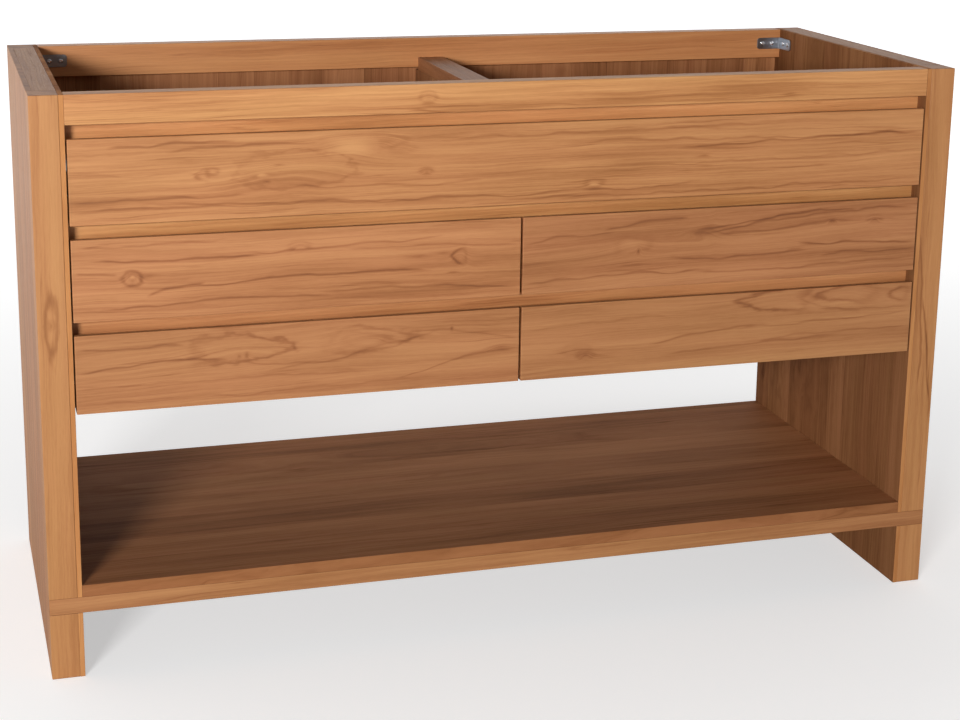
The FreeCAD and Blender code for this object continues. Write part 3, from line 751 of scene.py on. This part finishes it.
def screw_profile(wide, tall, shank, length):
    """A pan head of that radius and height, above a pointed shank of that radius and length."""
    point = [(0, -length), (0.5 * shank, 0.8 - length), (shank, 2.5 - length), (shank, 0)]
    dome = [(wide, 0.0), (wide, 0.25 * tall), (0.93 * wide, 0.58 * tall), (0.8 * wide, 0.8 * tall)]
    # closely spaced rings, so that the cross has a crisp edge
    rings = [step * 0.25 for step in range(10, 0, -1)]
    crown = [(radius, tall * (1 - 0.2 * (radius / wide) ** 2)) for radius in rings]
    return [*point, *dome, *crown, (0, tall)]


def flat_bracket(reach, half_wide, thick, holes):
    """A rounded strip in millimetres with pairs of holes, as a mesh, before it is bent."""
    corner, hole_radius, edge = 5, 2.25, 0.3
    outline = []
    for side_x, side_y, start in ((1, 1, 0), (-1, 1, 90), (-1, -1, 180), (1, -1, 270)):
        for step in range(9):
            angle = math.radians(start + step * 90 / 8)
            x = side_x * (reach - corner) + corner * math.cos(angle)
            y = side_y * (half_wide - corner) + corner * math.sin(angle)
            outline.append((x, y))
    loops = [outline]
    turns = [math.radians(15 * step) for step in range(24)]
    for hole in holes:
        circle = [(hole + hole_radius * math.cos(turn), hole_radius * math.sin(turn)) for turn in turns]
        loops.append(circle)

    curve = bpy.data.curves.new("plate", "CURVE")
    curve.dimensions, curve.fill_mode = "2D", "BOTH"
    curve.extrude, curve.offset = thick / 2 - edge, -edge
    curve.bevel_depth, curve.bevel_resolution = edge, 1
    for loop in loops:
        spline = curve.splines.new("POLY")
        spline.points.add(len(loop) - 1)
        for point, (x, y) in zip(spline.points, loop):
            point.co = (x, y, 0, 1)
        spline.use_cyclic_u = True
    holder = bpy.data.objects.new("plate", curve)
    bpy.context.scene.collection.objects.link(holder)
    flat = bpy.data.meshes.new_from_object(holder.evaluated_get(bpy.context.evaluated_depsgraph_get()))
    bpy.data.objects.remove(holder)
    return flat


def add_brackets():
    """The two pressed angle brackets that tie the back rail to the sides, and their screws."""
    low, high = (corner * 1000 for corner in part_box("corner_brackets"))
    face, middle = high.y, (low.z + high.z) / 2
    leg, thick, bend = high.y - low.y, 2.0, 3.5
    holes = (17.0, 35.0)                        # from the corner along each leg
    arc = (bend - thick / 2) * math.pi / 4      # half the length of the bent part
    reach = leg - bend + arc                    # half the length of the strip
    in_strip = [side * (hole - bend + arc) for hole in holes for side in (-1, 1)]
    flat = flat_bracket(reach, (high.z - low.z) / 2, thick, in_strip)

    plates, screws = bmesh.new(), bmesh.new()
    profile = screw_profile(3.8, 1.6, 1.9, 14)
    for hand in (-1, 1):
        plate = bmesh.new()
        plate.from_mesh(flat)
        for step in range(-4, 5):
            everything = [*plate.verts, *plate.edges, *plate.faces]
            cut = (step * arc / 4, 0, 0)
            bmesh.ops.bisect_plane(plate, geom=everything, plane_co=cut, plane_no=(1, 0, 0))
        for vert in plate.verts:
            along, up, out = vert.co
            angle = min(max((along + arc) / (2 * arc), 0), 1) * math.pi / 2
            radius = bend - thick / 2 - out
            x = radius * math.cos(angle) - max(along - arc, 0)
            y = radius * math.sin(angle) - max(-along - arc, 0)
            vert.co = (hand * (high.x - bend + x), face - bend + y, middle + up)
        bent = bpy.data.meshes.new("bent")
        plate.to_mesh(bent)
        plate.free()
        plates.from_mesh(bent)
        for hole in holes:
            on_rail = (hand * (high.x - hole), face - thick, middle)
            on_side = (hand * (high.x - thick), face - hole, middle)
            turned(screws, profile, on_rail, (0, -1, 0), turn=hole + hand, recess=1.1)
            turned(screws, profile, on_side, (-hand, 0, 0), turn=2 * hole + hand, recess=1.1)
    zinc = metal("bracket_zinc", (0.27, 0.29, 0.32), 0.36)
    bright = metal("screw_zinc", (0.72, 0.73, 0.75), 0.26)
    piece("angle_brackets", plates, zinc, "carcass", "bracket_zinc", "corner_brackets")
    piece("pan_head_screws", screws, bright, "carcass", "screw_zinc", "bracket_screws")


def add_slide_parts():
    """What the slides have beside their two members: flat screws, and balls in a cage between the members."""
    steel = metal("slide_steel", (0.52, 0.53, 0.55), 0.34)
    bright = metal("slide_screw_zinc", (0.60, 0.60, 0.58), 0.3)
    cage_zinc = metal("cage_zinc", (0.42, 0.40, 0.34), 0.4)
    for name in NODES:
        if name.endswith(("_runners", "_slide_rails")):
            dress(name, steel, 0.4)

    # sideways places are from the outer face of the fixed member, towards the drawer
    moving_web, fixed_web, cage_web, cage_thick, ball_line = 11.2, 1.5, 4.0, 0.8, 6.6
    fixed_face = 5.2          # how far that face is outside the moving member's
    half_tall, ball_rise, ball_radius = 14.6, 14.75, 1.6
    screw_places, stagger = (25, 175, 325), 16
    cage_ends = (5, 85)
    ball_places = range(9, 93, 12)
    profile = screw_profile(3.0, 1.3, 1.2, 1.6)
    looks = {"recess": 0.8, "sides": 32}

    for body in DRAWERS:
        low, high = (corner * 1000 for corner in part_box(f"{body}_runners"))
        middle = (low.z + high.z) / 2
        moving, fixed, cage, balls = (bmesh.new() for _ in range(4))
        for way, tip in ((1, low.x), (-1, high.x)):
            wall = tip - way * fixed_face
            for y in screw_places:
                on_moving = (wall + way * moving_web, low.y + y, middle)
                on_fixed = (wall + way * fixed_web, low.y + y + stagger, middle)
                turned(moving, profile, on_moving, (-way, 0, 0), turn=y, **looks)
                turned(fixed, profile, on_fixed, (way, 0, 0), turn=y, **looks)
            near = wall + way * cage_web
            far = near + way * cage_thick
            strip = [(near, -half_tall), (near, half_tall), (far, half_tall), (far, -half_tall)]
            ends = [[cage.verts.new((x, low.y + y, middle + z)) for x, z in strip] for y in cage_ends]
            for i in range(4):
                cage.faces.new((ends[0][i - 1], ends[0][i], ends[1][i], ends[1][i - 1]))
            for end in ends:
                cage.faces.new(end)
            for side in (-1, 1):
                for y in ball_places:
                    place = Vector((wall + way * ball_line, low.y + y, middle + side * ball_rise))
                    bmesh.ops.create_uvsphere(
                        balls, u_segments=16, v_segments=10, radius=ball_radius,
                        matrix=Matrix.Translation(place),
                    )
        piece(f"{body}_runner_screws", moving, bright, body, "screw_zinc")
        piece(f"{body}_rail_screws", fixed, bright, "carcass", "screw_zinc")
        piece(f"{body}_ball_cage", cage, cage_zinc, "carcass", "slide_steel")
        piece(f"{body}_balls", balls, steel, "carcass", "slide_steel")


# ---------------------------------------------------------------- making it

add_camera()
add_world()
add_floor()
add_key_light()
dress_boards()
add_brackets()
add_slide_parts()
bpy.context.scene.view_settings.view_transform = "Standard"
